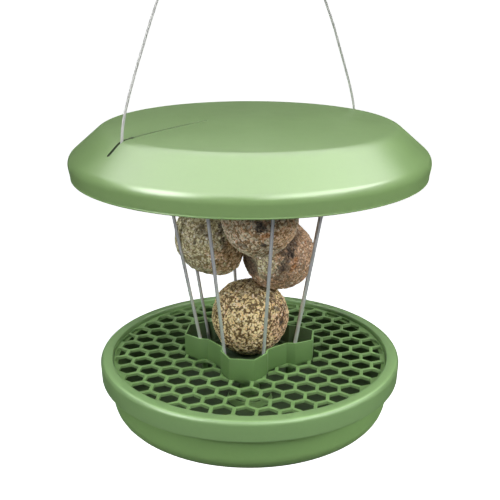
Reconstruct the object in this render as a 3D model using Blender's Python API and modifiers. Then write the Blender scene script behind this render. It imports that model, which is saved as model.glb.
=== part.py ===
"""Hanging suet feeder: a wide domed roof that slides up a wire rope, a cage of leaning rods that holds
the suet balls, and a round tray with a honeycomb perch grid over a catch bowl.

Metres, +Z up. The origin is the centre of the flat base; the photograph looks along +Y.
Run it with Blender 4.5: blender --background --python part.py
"""

import math

import bmesh
import bpy
import numpy as np
from mathutils import Matrix, Vector

# Shared fits
CLEARANCE = 0.0003
OVERRUN = 0.004
WELD_DISTANCE = CLEARANCE / 100
SHARP_ANGLE = math.radians(35)
TURN_STEPS = 48

# Catch bowl, the lower part of the tray
BOWL_STEP_RADIUS = 0.1082
BOWL_TAPER = 0.0009
BOWL_WALL = 0.0024
BOWL_CORNER_FILLET = 0.0147
LEDGE_WIDTH = 0.0050
LEDGE_THICKNESS = 0.0022
RECESS_GAP = 0.0050
RECESS_COVER = 0.0015
RECESS_DRAFT = 0.0015

# Tray rim, the band that drops over the bowl
RIM_TOP_HEIGHT = 0.0471
RIM_BAND = 0.0157
RIM_OVERHANG = 0.0083
RIM_INNER_SETBACK = 0.0014
RIM_DRAFT = 0.0006
RIM_WALL = 0.0022
RIM_FILLET = 0.0035

# Perch grid
GRID_DROP = 0.0031
GRID_DEPTH = 0.0022
CELL_PITCH = 0.01591
STRUT_WIDTH = 0.0025
GRID_HOOP_WIDTH = 0.0010
GRID_COLLAR_GAP = 0.0006

# Ball cup: four lobes round the axis, turned a little from the view
TWIST = math.radians(-6.65)
LOBES = 4
LOBE_POINT_LENGTH = 0.0130
LOBE_TIP_HALF_WIDTH = 0.0095
LOBE_ROOT_SETBACK = 0.0024
CUP_WALL = 0.0012
CUP_RISE = 0.0134
CUP_FLOOR_DROP = 0.0051
CUP_FLOOR_THICKNESS = 0.0020
CUP_FACE_DROP = 0.0038
CUP_PAN_INSET = 0.0030
STEM_WALL = 0.0052
DRAIN_RADIUS = 0.0040
DRAIN_SETBACK = 0.0085
SOCKET_WALL = 0.0018
SOCKET_DEPTH = 0.0058
SOCKET_FLOOR = 0.0020

# Thumb screw under the bowl
SCREW_RADIUS = 0.0025
SCREW_LENGTH = 0.0220
SCREW_HEAD_RADIUS = 0.0110
SCREW_HEAD_THICKNESS = 0.0042
SCREW_HEAD_FLUTES = 12
FLUTE_RADIUS = 0.0016

# Rods of the cage, in pairs at each lobe
ROD_RADIUS = 0.0013
ROD_FOOT_RADIUS = 0.0354
ROD_FOOT_ANGLE = math.radians(21.7)
ROD_HEAD_RADIUS = 0.0671
ROD_HEAD_ANGLE = math.radians(22.2)
ROD_SIDES = 12
ROD_STAND_OUT = 0.0022
NUT_WALL = 0.0014
NUT_CAP = 0.0014
NUT_SIDES = 8

# Ring on top of the cage, with an arm to each leg of the rope
RING_RISE = 0.0124
RING_THICKNESS = 0.0050
RING_INNER_LAND = 0.0071
RING_MARGIN = 0.0015
ARM_HALF_WIDTH = 0.0060
RING_STEPS = 48

# Roof
ROOF_GAP = 0.1435
ROOF_SHOULDER_RADIUS = 0.1324
ROOF_EDGE_TUCK = 0.0029
ROOF_SHOULDER_RISE = 0.0135
ROOF_SHOULDER_FILLET = 0.0133
ROOF_SLOPE_RUN = 0.0253
ROOF_CREASE_RISE = 0.0348
ROOF_CREASE_FILLET = 0.0095
ROOF_DOME_RISE = 0.0070
ROOF_WALL = 0.0022
ROOF_RIB_GAP = 0.0040
ROOF_RIB_WALL = 0.0024
DOME_RING_SHARES = (0.0, 0.25, 0.50, 0.80)

# Rope slots in the roof, along the line of the two rope legs
ROPE_LINE = TWIST - math.radians(135)
SLOT_PLAY = 0.0004
SLOT_PAST_LEG = 0.0101
SLOT_BEFORE_LEG = 0.0029
LONG_SLOT_LENGTH = 0.0795
KEYHOLE_SETBACK = 0.0060
KEYHOLE_PLAY = 0.0010
SLOT_END_STEPS = 6

# The roof slides up along the right rope leg: sideways travel along the rope line for each metre of rise
SLIDE_LEAN = 0.42

# Rope and its crimped ferrules
ROPE_DIAMETER = 0.0020
ROPE_TUBE_POINTS = 66
ROPE_LEG_OFFSET = 0.0003
ROUTE_FINENESS = 24
FERRULE_WALL = 0.0010
FERRULE_LENGTH = 0.0090
FERRULE_FLOOR = 0.0012
FERRULE_SIDES = 14

# The rope's route: distance from the axis along the rope line, and height above the roof's crease
ROUTE_LEFT_LEG = (
    (0.1071, -0.0085),
    (0.1063, -0.0010),
    (0.1043, 0.0125),
    (0.0996, 0.0280),
    (0.0931, 0.0455),
    (0.0870, 0.0605),
    (0.0812, 0.0745),
    (0.0753, 0.0876),
)
ROUTE_CROWN = (
    (0.0676, 0.1030),
    (0.0572, 0.1195),
    (0.0437, 0.1352),
    (0.0268, 0.1478),
    (0.0050, 0.1540),
    (-0.0175, 0.1490),
    (-0.0355, 0.1373),
    (-0.0500, 0.1215),
    (-0.0610, 0.1046),
)
ROUTE_RIGHT_LEG = (
    (-0.0705, 0.0860),
    (-0.0812, 0.0650),
    (-0.0885, 0.0480),
    (-0.0957, 0.0312),
    (-0.1019, 0.0154),
    (-0.1060, 0.0010),
    (-0.1071, -0.0085),
)

# Suet balls: place of each centre, as shares of the cage's head radius and of its height over the cup floor
BALL_PLACE_SHARES = {
    "suet_ball_bottom": (0.0015, 0.0820, 0.1760),
    "suet_ball_left": (-0.4456, 0.0507, 0.5785),
    "suet_ball_front": (0.1028, -0.4322, 0.7194),
    "suet_ball_right": (0.3294, 0.0820, 0.4863),
}
BALL_MERIDIANS = 16
BALL_PARALLELS = 10

# Colours and finishes
GREEN_ROOF = (0.26, 0.40, 0.20)
GREEN_TRAY = (0.12, 0.24, 0.08)
GREEN_CUP = (0.07, 0.15, 0.045)
STEEL = (0.45, 0.46, 0.46)
ROPE_STEEL = (0.62, 0.63, 0.62)
SUET = (0.36, 0.27, 0.14)

# Sizes and heights that follow from those above
RIM_RADIUS = BOWL_STEP_RADIUS + RIM_OVERHANG
RIM_INNER_RADIUS = BOWL_STEP_RADIUS - RIM_INNER_SETBACK
BOWL_BASE_RADIUS = BOWL_STEP_RADIUS - BOWL_TAPER
BOWL_STEP_HEIGHT = RIM_TOP_HEIGHT - RIM_BAND
RECESS_RADIUS = SCREW_HEAD_RADIUS + RECESS_GAP
RECESS_DEPTH = SCREW_HEAD_THICKNESS + CLEARANCE + RECESS_COVER
SCREW_BORE_RADIUS = SCREW_RADIUS + CLEARANCE
STEM_RADIUS = SCREW_BORE_RADIUS + STEM_WALL
CUP_FLOOR_TOP = RIM_TOP_HEIGHT - CUP_FLOOR_DROP
CUP_TOP = RIM_TOP_HEIGHT + CUP_RISE
CUP_FACE_BOTTOM = RIM_TOP_HEIGHT - CUP_FACE_DROP
CUP_STEP_TOP = CUP_FACE_BOTTOM + CUP_WALL
GRID_TOP = RIM_TOP_HEIGHT - GRID_DROP
GRID_BOTTOM = GRID_TOP - GRID_DEPTH
LEDGE_TOP = GRID_BOTTOM - CLEARANCE
GRID_RADIUS = RIM_INNER_RADIUS - CLEARANCE
ROOF_EDGE_HEIGHT = RIM_TOP_HEIGHT + ROOF_GAP
CREASE_HEIGHT = ROOF_EDGE_HEIGHT + ROOF_CREASE_RISE
RING_BOTTOM = ROOF_EDGE_HEIGHT + RING_RISE
RING_TOP = RING_BOTTOM + RING_THICKNESS
ROD_FOOT_HEIGHT = CUP_FLOOR_TOP - SOCKET_DEPTH
ROD_HEAD_HEIGHT = RING_TOP + ROD_STAND_OUT
CUP_TOP_SHARE = (CUP_TOP - ROD_FOOT_HEIGHT) / (ROD_HEAD_HEIGHT - ROD_FOOT_HEIGHT)
ROD_HOLE_RADIUS = ROD_RADIUS + CLEARANCE
SOCKET_RADIUS = ROD_HOLE_RADIUS + SOCKET_WALL
NUT_RADIUS = ROD_HOLE_RADIUS + NUT_WALL
NUT_HEIGHT = ROD_STAND_OUT + NUT_CAP
ROOF_EDGE_RADIUS = ROOF_SHOULDER_RADIUS - ROOF_EDGE_TUCK
ROOF_CREASE_RADIUS = ROOF_SHOULDER_RADIUS - ROOF_SLOPE_RUN
RIB_INNER_RADIUS = ROD_HEAD_RADIUS + NUT_RADIUS + ROOF_RIB_GAP
RIB_OUTER_RADIUS = RIB_INNER_RADIUS + ROOF_RIB_WALL
RING_INNER_RADIUS = ROD_HEAD_RADIUS - RING_INNER_LAND
RING_OUTER_RADIUS = RIB_OUTER_RADIUS + RING_MARGIN
ROPE_RADIUS = ROPE_DIAMETER / 2
ROPE_HOLE_RADIUS = ROPE_RADIUS + CLEARANCE
ROPE_LEG_RADIUS = ROOF_CREASE_RADIUS + ROPE_LEG_OFFSET
FERRULE_RADIUS = ROPE_HOLE_RADIUS + FERRULE_WALL
FERRULE_TOP = RING_BOTTOM - CLEARANCE
ROPE_END_HEIGHT = FERRULE_TOP - FERRULE_LENGTH + FERRULE_FLOOR + CLEARANCE


def clear_scene():
    for thing in list(bpy.data.objects):
        bpy.data.objects.remove(thing)


def collection(name):
    found = bpy.data.collections.new(name)
    bpy.context.scene.collection.children.link(found)
    return found


def material(name, colour, roughness, metallic=0.0):
    made = bpy.data.materials.new(name)
    made.use_nodes = True
    shader = made.node_tree.nodes["Principled BSDF"]
    shader.inputs["Base Color"].default_value = (*colour, 1.0)
    shader.inputs["Roughness"].default_value = roughness
    shader.inputs["Metallic"].default_value = metallic
    return made


def keep(thing, home, finish=None, parent=None):
    """Moves an object into its collection, and gives it its material and parent."""
    for owner in list(thing.users_collection):
        owner.objects.unlink(thing)
    home.objects.link(thing)
    if finish is not None:
        thing.data.materials.clear()
        thing.data.materials.append(finish)
    if parent is not None:
        thing.parent = parent
        thing.matrix_parent_inverse = parent.matrix_world.inverted()
    return thing


def guide(thing):
    """A cutter shows as wire and isn't a piece of the feeder."""
    thing.hide_render = True
    thing.display_type = "WIRE"
    return keep(thing, CUTTERS)


def smooth(mesh):
    mesh.shade_smooth()
    mesh.set_sharp_from_angle(angle=SHARP_ANGLE)


def polar(radius, angle, height=0.0):
    return Vector((radius * math.cos(angle), radius * math.sin(angle), height))


def offset_corners(corners, distance, closed):
    """Moves each side of an outline to its right by the distance, and meets the sides again."""
    points = [Vector(corner[:2]) for corner in corners]
    count = len(points)
    sides = []
    for index in range(count if closed else count - 1):
        start, end = points[index], points[(index + 1) % count]
        along = (end - start).normalized()
        shift = Vector((along.y, -along.x)) * distance
        sides.append((start + shift, along, end + shift))
    moved = []
    for index in range(count):
        before = sides[index - 1] if closed or index > 0 else None
        after = sides[index] if closed or index < count - 1 else None
        if before is None:
            moved.append(after[0])
        elif after is None:
            moved.append(before[2])
        else:
            moved.append(meet(before, after))
    return moved


def meet(before, after):
    """Where two sides cross, each given by a point and a direction."""
    turn = before[1].x * after[1].y - before[1].y * after[1].x
    gap = after[0] - before[0]
    reach = (gap.x * after[1].y - gap.y * after[1].x) / turn
    return before[0] + before[1] * reach


def rounded(corners, steps=4, closed=False):
    """Rounds the corners (x, y, fillet) of an outline with arcs of that radius."""
    outline = []
    count = len(corners)
    for index, (x, y, fillet) in enumerate(corners):
        here = Vector((x, y))
        if fillet == 0 or not closed and index in (0, count - 1):
            outline.append(here)
            continue
        back = (Vector(corners[index - 1][:2]) - here).normalized()
        ahead = (Vector(corners[(index + 1) % count][:2]) - here).normalized()
        half = back.angle(ahead) / 2
        centre = here + (back + ahead).normalized() * (fillet / math.sin(half))
        start = here + back * (fillet / math.tan(half)) - centre
        end = here + ahead * (fillet / math.tan(half)) - centre
        sweep = start.angle_signed(end)
        for step in range(steps + 1):
            outline.append(centre + Matrix.Rotation(-sweep * step / steps, 2) @ start)
    return outline


def turned(name, profile, closed=True, steps=TURN_STEPS):
    """Turns a profile of (radius, height) points round Z. It runs down its outer side and up its inner."""
    mesh = bpy.data.meshes.new(name)
    work = bmesh.new()
    corners = [work.verts.new((point[0], 0, point[1])) for point in profile]
    for first, second in zip(corners, corners[1:]):
        work.edges.new((first, second))
    if closed:
        work.edges.new((corners[-1], corners[0]))
    work.to_mesh(mesh)
    work.free()
    thing = bpy.data.objects.new(name, mesh)
    bpy.context.scene.collection.objects.link(thing)
    screw = thing.modifiers.new("turn", "SCREW")
    screw.axis = "Z"
    screw.angle = math.tau
    screw.steps = screw.render_steps = steps
    screw.use_merge_vertices = True
    screw.merge_threshold = WELD_DISTANCE
    screw.use_smooth_shade = True
    return thing


def as_mesh(thing):
    """Replaces an object by its evaluated mesh, with any loose caps welded on."""
    bpy.context.view_layer.update()
    evaluated = thing.evaluated_get(bpy.context.evaluated_depsgraph_get())
    mesh = bpy.data.meshes.new_from_object(evaluated)
    work = bmesh.new()
    work.from_mesh(mesh)
    bmesh.ops.remove_doubles(work, verts=work.verts, dist=WELD_DISTANCE)
    work.to_mesh(mesh)
    work.free()
    name = thing.name
    made = bpy.data.objects.new(name, mesh)
    bpy.context.scene.collection.objects.link(made)
    made.matrix_world = thing.matrix_world
    bpy.data.objects.remove(thing)
    made.name = name
    return made


def plate(name, outlines, low, high):
    """A flat outline, with any further outlines as holes in it, from one height to another."""
    curve = bpy.data.curves.new(name, "CURVE")
    curve.dimensions = "2D"
    curve.fill_mode = "BOTH"
    curve.extrude = (high - low) / 2
    for outline in outlines:
        spline = curve.splines.new("POLY")
        spline.points.add(len(outline) - 1)
        for point, place in zip(spline.points, outline):
            point.co = (place[0], place[1], 0, 1)
        spline.use_cyclic_u = True
    thing = bpy.data.objects.new(name, curve)
    bpy.context.scene.collection.objects.link(thing)
    thing.location.z = (low + high) / 2
    return as_mesh(thing)


def circle(centre, radius, steps):
    return [Vector(centre[:2]) + polar(radius, math.tau * step / steps).xy for step in range(steps)]


def bar(name, foot, head, radius, sides):
    """A straight round bar between two points."""
    along = head - foot
    bpy.ops.mesh.primitive_cylinder_add(
        vertices=sides, radius=radius, depth=along.length, location=(foot + head) / 2
    )
    thing = bpy.context.object
    thing.name = name
    thing.rotation_euler = along.to_track_quat("Z", "Y").to_euler()
    smooth(thing.data)
    return thing


def combine(thing, other, operation):
    change = thing.modifiers.new(operation.lower(), "BOOLEAN")
    change.operation = operation
    change.object = other
    change.solver = "EXACT"
    return thing


def joined(name, things):
    """Joins separate objects into one mesh object."""
    with bpy.context.temp_override(
        active_object=things[0], selected_editable_objects=things, selected_objects=things
    ):
        bpy.ops.object.join()
    things[0].name = name
    return things[0]


def rod_line(index):
    """Foot and head of a rod's axis. Rods stand in pairs, one each side of a lobe's middle."""
    side = -1 if index % 2 == 0 else 1
    lobe = TWIST + math.tau * (index // 2) / LOBES
    foot = polar(ROD_FOOT_RADIUS, lobe + side * ROD_FOOT_ANGLE, ROD_FOOT_HEIGHT)
    head = polar(ROD_HEAD_RADIUS, lobe + side * ROD_HEAD_ANGLE, ROD_HEAD_HEIGHT)
    return foot, head


def rod_holes(name, radius, foot_share, head_share):
    """Cutters along the rods, from one share of their length to another."""
    holes = []
    for index in range(2 * LOBES):
        foot, head = rod_line(index)
        low = foot.lerp(head, foot_share)
        high = foot.lerp(head, head_share)
        holes.append(bar(name, low, high, radius, ROD_SIDES))
    return guide(joined(name, holes))


def rod_beside_lobe(share):
    """Distance of a rod's axis from the feeder's axis along its lobe's middle, and to the side of it."""
    foot = polar(ROD_FOOT_RADIUS, ROD_FOOT_ANGLE)
    head = polar(ROD_HEAD_RADIUS, ROD_HEAD_ANGLE)
    return foot.lerp(head, share).xy


def lobe_reach():
    return rod_beside_lobe(CUP_TOP_SHARE).x + LOBE_POINT_LENGTH


def cup_outline(outset):
    """The collar's plan, moved out from its outer face by the outset. The rods stand in its corners."""
    root = rod_beside_lobe(0).x - LOBE_ROOT_SETBACK
    shoulder, side = rod_beside_lobe(CUP_TOP_SHARE)
    half_width = side + ROD_HOLE_RADIUS + CUP_WALL
    lobe = [
        (root, -half_width),
        (shoulder, -half_width),
        (lobe_reach(), -LOBE_TIP_HALF_WIDTH),
        (lobe_reach(), LOBE_TIP_HALF_WIDTH),
        (shoulder, half_width),
        (root, half_width),
    ]
    corners = []
    for number in range(LOBES):
        turn = Matrix.Rotation(TWIST + math.tau * number / LOBES, 2)
        corners += [turn @ Vector(corner) for corner in lobe]
    return offset_corners(corners, outset, closed=True)


def make_bowl():
    step_inner = BOWL_STEP_RADIUS - BOWL_WALL
    inner_fillet = BOWL_CORNER_FILLET - BOWL_WALL
    corners = [
        (BOWL_STEP_RADIUS, LEDGE_TOP, 0),
        (BOWL_STEP_RADIUS, BOWL_STEP_HEIGHT, 0),
        (BOWL_BASE_RADIUS, 0, BOWL_CORNER_FILLET),
        (RECESS_RADIUS, 0, 0),
        (RECESS_RADIUS - RECESS_DRAFT, RECESS_DEPTH, 0),
        (SCREW_BORE_RADIUS, RECESS_DEPTH, 0),
        (SCREW_BORE_RADIUS, RECESS_DEPTH + BOWL_WALL, 0),
        (RECESS_RADIUS - RECESS_DRAFT + BOWL_WALL, RECESS_DEPTH + BOWL_WALL, 0),
        (RECESS_RADIUS + BOWL_WALL, BOWL_WALL, 0),
        (BOWL_BASE_RADIUS - BOWL_WALL, BOWL_WALL, inner_fillet),
        (step_inner, LEDGE_TOP - LEDGE_THICKNESS, 0),
        (BOWL_STEP_RADIUS - LEDGE_WIDTH, LEDGE_TOP - LEDGE_THICKNESS, 0),
        (BOWL_STEP_RADIUS - LEDGE_WIDTH, LEDGE_TOP, 0),
    ]
    return keep(turned("catch_bowl", rounded(corners, closed=True)), PARTS, TRAY_FINISH)


def make_rim():
    skirt = LEDGE_TOP + CLEARANCE
    corners = [
        (RIM_RADIUS, RIM_TOP_HEIGHT, RIM_FILLET),
        (RIM_RADIUS - RIM_DRAFT, BOWL_STEP_HEIGHT, 0),
        (BOWL_STEP_RADIUS + CLEARANCE, BOWL_STEP_HEIGHT, 0),
        (BOWL_STEP_RADIUS + CLEARANCE, BOWL_STEP_HEIGHT + RIM_WALL, 0),
        (RIM_RADIUS - RIM_DRAFT - RIM_WALL, BOWL_STEP_HEIGHT + RIM_WALL, 0),
        (RIM_RADIUS - RIM_WALL, RIM_TOP_HEIGHT - RIM_WALL, RIM_FILLET - RIM_WALL),
        (RIM_INNER_RADIUS + RIM_WALL, RIM_TOP_HEIGHT - RIM_WALL, 0),
        (RIM_INNER_RADIUS + RIM_WALL, skirt, 0),
        (RIM_INNER_RADIUS, skirt, 0),
        (RIM_INNER_RADIUS, RIM_TOP_HEIGHT, 0),
    ]
    return keep(turned("tray_rim", rounded(corners, steps=3, closed=True)), PARTS, TRAY_FINISH)


def honeycomb(radius, low, high):
    """Hexagonal cells to cut from the grid, with one centred on the axis."""
    row_step = CELL_PITCH * math.sqrt(3) / 2
    cell_radius = (CELL_PITCH - STRUT_WIDTH) / math.sqrt(3)
    rows = math.ceil(radius / row_step)
    work = bmesh.new()
    for row in range(-rows, rows + 1):
        shift = row % 2 / 2
        for column in range(-rows, rows + 1):
            centre = Vector(((column + shift) * CELL_PITCH, row * row_step))
            if centre.length > radius:
                continue
            centre = Matrix.Rotation(TWIST, 2) @ centre
            place = Matrix.Translation((centre.x, centre.y, (low + high) / 2))
            bmesh.ops.create_cone(
                work,
                cap_ends=True,
                segments=6,
                radius1=cell_radius,
                radius2=cell_radius,
                depth=high - low,
                matrix=place @ Matrix.Rotation(TWIST, 4, "Z"),
            )
    mesh = bpy.data.meshes.new("cells")
    work.to_mesh(mesh)
    work.free()
    thing = bpy.data.objects.new("cells", mesh)
    bpy.context.scene.collection.objects.link(thing)
    return guide(thing)


def main_island(thing):
    """Keeps the largest connected body of a mesh, and drops the loose ends that a cut has left."""
    work = bmesh.new()
    work.from_mesh(thing.data)
    islands = []
    waiting = set(work.verts)
    while waiting:
        reached = {waiting.pop()}
        front = set(reached)
        while front:
            front = {edge.other_vert(vert) for vert in front for edge in vert.link_edges} - reached
            reached |= front
        waiting -= reached
        islands.append(reached)
    islands.sort(key=len)
    loose = [vert for island in islands[:-1] for vert in island]
    bmesh.ops.delete(work, geom=loose, context="VERTS")
    work.to_mesh(thing.data)
    work.free()
    return thing


def make_grid():
    disc = bar("perch_grid", Vector((0, 0, GRID_BOTTOM)), Vector((0, 0, GRID_TOP)), GRID_RADIUS, TURN_STEPS)
    opening_low, opening_high = GRID_BOTTOM - OVERRUN, GRID_TOP + OVERRUN
    cell_limit = GRID_RADIUS - GRID_HOOP_WIDTH
    cells = honeycomb(cell_limit, opening_low, opening_high)
    hoop_low = Vector((0, 0, opening_low - OVERRUN))
    hoop_high = Vector((0, 0, opening_high + OVERRUN))
    combine(cells, guide(bar("cell_limit", hoop_low, hoop_high, cell_limit, TURN_STEPS)), "INTERSECT")
    combine(disc, cells, "DIFFERENCE")
    collar = plate("collar_opening", [cup_outline(GRID_COLLAR_GAP)], opening_low, opening_high)
    combine(disc, guide(collar), "DIFFERENCE")
    return keep(main_island(as_mesh(disc)), PARTS, TRAY_FINISH)


def make_cup():
    """The collar steps in to a narrower pan below, whose floor carries the lowest ball."""
    floor_bottom = CUP_FLOOR_TOP - CUP_FLOOR_THICKNESS
    step_middle = (CUP_FACE_BOTTOM + CUP_STEP_TOP) / 2
    stem_bottom = RECESS_DEPTH + BOWL_WALL + CLEARANCE
    cup = plate("ball_cup", [cup_outline(0)], CUP_FACE_BOTTOM, CUP_TOP)
    pan = plate("cup_pan", [cup_outline(-CUP_PAN_INSET)], floor_bottom, step_middle)
    combine(cup, guide(pan), "UNION")
    inside = plate("cup_inside", [cup_outline(-CUP_WALL)], CUP_STEP_TOP, CUP_TOP + OVERRUN)
    combine(cup, guide(inside), "DIFFERENCE")
    pan_outline = cup_outline(-CUP_PAN_INSET - CUP_WALL)
    combine(cup, guide(plate("pan_inside", [pan_outline], CUP_FLOOR_TOP, CUP_TOP + OVERRUN)), "DIFFERENCE")
    socket_bottom = ROD_FOOT_HEIGHT - SOCKET_FLOOR
    sockets = []
    for index in range(2 * LOBES):
        foot, _ = rod_line(index)
        low = Vector((foot.x, foot.y, socket_bottom))
        high = Vector((foot.x, foot.y, step_middle))
        sockets.append(bar("rod_sockets", low, high, SOCKET_RADIUS, ROD_SIDES))
    stem_top = Vector((0, 0, (floor_bottom + CUP_FLOOR_TOP) / 2))
    sockets.append(bar("stem", Vector((0, 0, stem_bottom)), stem_top, STEM_RADIUS, RING_STEPS // 2))
    combine(cup, guide(joined("rod_sockets", sockets)), "UNION")
    rod_length = ROD_HEAD_HEIGHT - ROD_FOOT_HEIGHT
    foot_share = -CLEARANCE / rod_length
    head_share = (CUP_TOP + OVERRUN - ROD_FOOT_HEIGHT) / rod_length
    combine(cup, rod_holes("socket_holes", ROD_HOLE_RADIUS, foot_share, head_share), "DIFFERENCE")
    drains = []
    for number in range(LOBES):
        place = polar(lobe_reach() - DRAIN_SETBACK, TWIST + math.tau * number / LOBES)
        low = Vector((place.x, place.y, floor_bottom - OVERRUN))
        high = Vector((place.x, place.y, CUP_FLOOR_TOP + OVERRUN))
        drains.append(bar("drains", low, high, DRAIN_RADIUS, ROD_SIDES))
    bore_top = SCREW_LENGTH + RECESS_DEPTH + CLEARANCE
    bore_low = Vector((0, 0, stem_bottom - OVERRUN))
    drains.append(bar("bore", bore_low, Vector((0, 0, bore_top)), SCREW_BORE_RADIUS, ROD_SIDES))
    combine(cup, guide(joined("drains", drains)), "DIFFERENCE")
    return keep(as_mesh(cup), PARTS, CUP_FINISH)


def make_screw():
    head_top = RECESS_DEPTH - CLEARANCE
    head_bottom = head_top - SCREW_HEAD_THICKNESS
    profile = [
        (0, RECESS_DEPTH + SCREW_LENGTH),
        (SCREW_RADIUS, RECESS_DEPTH + SCREW_LENGTH),
        (SCREW_RADIUS, head_top),
        (SCREW_HEAD_RADIUS, head_top),
        (SCREW_HEAD_RADIUS, head_bottom),
        (0, head_bottom),
    ]
    screw = turned("thumb_screw", profile, closed=False, steps=2 * SCREW_HEAD_FLUTES)
    flutes = []
    for number in range(SCREW_HEAD_FLUTES):
        place = polar(SCREW_HEAD_RADIUS, math.tau * (number + 1 / 2) / SCREW_HEAD_FLUTES)
        low = Vector((place.x, place.y, head_bottom - OVERRUN))
        high = Vector((place.x, place.y, head_top + OVERRUN))
        flutes.append(bar("flutes", low, high, FLUTE_RADIUS, NUT_SIDES))
    combine(screw, guide(joined("flutes", flutes)), "DIFFERENCE")
    return keep(screw, PARTS, CUP_FINISH)


def make_rods():
    for index in range(2 * LOBES):
        foot, head = rod_line(index)
        rod = bar(f"cage_rod_{index + 1}", foot, head, ROD_RADIUS, ROD_SIDES)
        keep(rod, PARTS, STEEL_FINISH)


def make_nuts():
    """A cap nut on the top of each rod, sharing one mesh that stands on the rod's own axis."""
    profile = [
        (0, NUT_HEIGHT),
        (NUT_RADIUS, NUT_HEIGHT),
        (NUT_RADIUS, 0),
        (ROD_HOLE_RADIUS, 0),
        (ROD_HOLE_RADIUS, ROD_STAND_OUT),
        (0, ROD_STAND_OUT),
    ]
    nut = as_mesh(turned("rod_nut", profile, closed=False, steps=NUT_SIDES))
    foot, head = rod_line(0)
    lean = (head - foot).normalized()
    edge_drop = NUT_RADIUS * math.sqrt(1 - lean.z**2)
    for index in range(2 * LOBES):
        foot, head = rod_line(index)
        along = (head - foot).normalized()
        seat = foot + along * ((RING_TOP + CLEARANCE + edge_drop - foot.z) / along.z)
        copy = bpy.data.objects.new(f"rod_nut_{index + 1}", nut.data)
        copy.location = seat
        copy.rotation_euler = along.to_track_quat("Z", "Y").to_euler()
        keep(copy, PARTS, STEEL_FINISH)
    bpy.data.objects.remove(nut)


def ring_outline():
    """The ring's outer edge, with a round-ended arm along the rope line on each side."""
    root = math.asin(ARM_HALF_WIDTH / RING_OUTER_RADIUS)
    steps = RING_STEPS // 2
    outline = []
    for arm in (0, math.pi):
        tip = polar(ROPE_LEG_RADIUS, ROPE_LINE + arm).xy
        for step in range(SLOT_END_STEPS + 1):
            angle = ROPE_LINE + arm - math.pi / 2 + math.pi * step / SLOT_END_STEPS
            outline.append(tip + polar(ARM_HALF_WIDTH, angle).xy)
        for step in range(steps + 1):
            angle = ROPE_LINE + arm + root + (math.pi - 2 * root) * step / steps
            outline.append(polar(RING_OUTER_RADIUS, angle).xy)
    return outline


def make_ring():
    holes = [circle((0, 0), RING_INNER_RADIUS, RING_STEPS)]
    for leg in (0, math.pi):
        holes.append(circle(polar(ROPE_LEG_RADIUS, ROPE_LINE + leg), ROPE_HOLE_RADIUS, ROD_SIDES))
    ring = plate("cage_top_ring", [ring_outline(), *holes], RING_BOTTOM, RING_TOP)
    rod_length = ROD_HEAD_HEIGHT - ROD_FOOT_HEIGHT
    low_share = (RING_BOTTOM - OVERRUN - ROD_FOOT_HEIGHT) / rod_length
    high_share = (RING_TOP + OVERRUN - ROD_FOOT_HEIGHT) / rod_length
    combine(ring, rod_holes("ring_holes", ROD_HOLE_RADIUS, low_share, high_share), "DIFFERENCE")
    return keep(ring, PARTS, CUP_FINISH)


def dome_height(radius):
    """Height of the roof's top face, a shallow round dome that ends at the crease."""
    sphere = (ROOF_CREASE_RADIUS**2 + ROOF_DOME_RISE**2) / (2 * ROOF_DOME_RISE)
    return CREASE_HEIGHT + ROOF_DOME_RISE - sphere + math.sqrt(sphere**2 - radius**2)


def roof_profile():
    dome = [(share * ROOF_CREASE_RADIUS, dome_height(share * ROOF_CREASE_RADIUS)) for share in DOME_RING_SHARES]
    skirt = [
        (ROOF_CREASE_RADIUS, CREASE_HEIGHT),
        (ROOF_SHOULDER_RADIUS, ROOF_EDGE_HEIGHT + ROOF_SHOULDER_RISE),
        (ROOF_EDGE_RADIUS, ROOF_EDGE_HEIGHT),
    ]
    fillets = [0] * len(dome) + [ROOF_CREASE_FILLET, ROOF_SHOULDER_FILLET, 0]
    outer = [(*corner, fillet) for corner, fillet in zip(dome + skirt, fillets)]
    moved = offset_corners(outer, ROOF_WALL, closed=False)
    moved[0].x = 0
    moved[-1].y = ROOF_EDGE_HEIGHT
    inner = [(*corner, max(fillet - ROOF_WALL, 0)) for corner, fillet in zip(moved, fillets)]
    rib_bottom = RING_TOP + CLEARANCE
    rib = [
        Vector((RIB_OUTER_RADIUS, dome_height(RIB_OUTER_RADIUS) - ROOF_WALL)),
        Vector((RIB_OUTER_RADIUS, rib_bottom)),
        Vector((RIB_INNER_RADIUS, rib_bottom)),
        Vector((RIB_INNER_RADIUS, dome_height(RIB_INNER_RADIUS) - ROOF_WALL)),
    ]
    inside = list(reversed(rounded(inner, steps=3)))
    around = [point for point in inside if point.x > RIB_OUTER_RADIUS]
    centre = [point for point in inside if point.x < RIB_INNER_RADIUS]
    return rounded(outer) + around + rib + centre


def slot_outline(stations):
    """A slot along +X from stations of (distance, half width), with a round end at each side."""
    (near, near_half), (far, far_half) = stations[0], stations[-1]
    turns = [math.pi * step / SLOT_END_STEPS for step in range(SLOT_END_STEPS + 1)]
    outline = [Vector((distance, -half)) for distance, half in stations[1:-1]]
    outline += [Vector((far - far_half, 0)) + polar(far_half, turn - math.pi / 2).xy for turn in turns]
    outline += [Vector((distance, half)) for distance, half in reversed(stations[1:-1])]
    outline += [Vector((near + near_half, 0)) + polar(near_half, turn + math.pi / 2).xy for turn in turns]
    return outline


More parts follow.
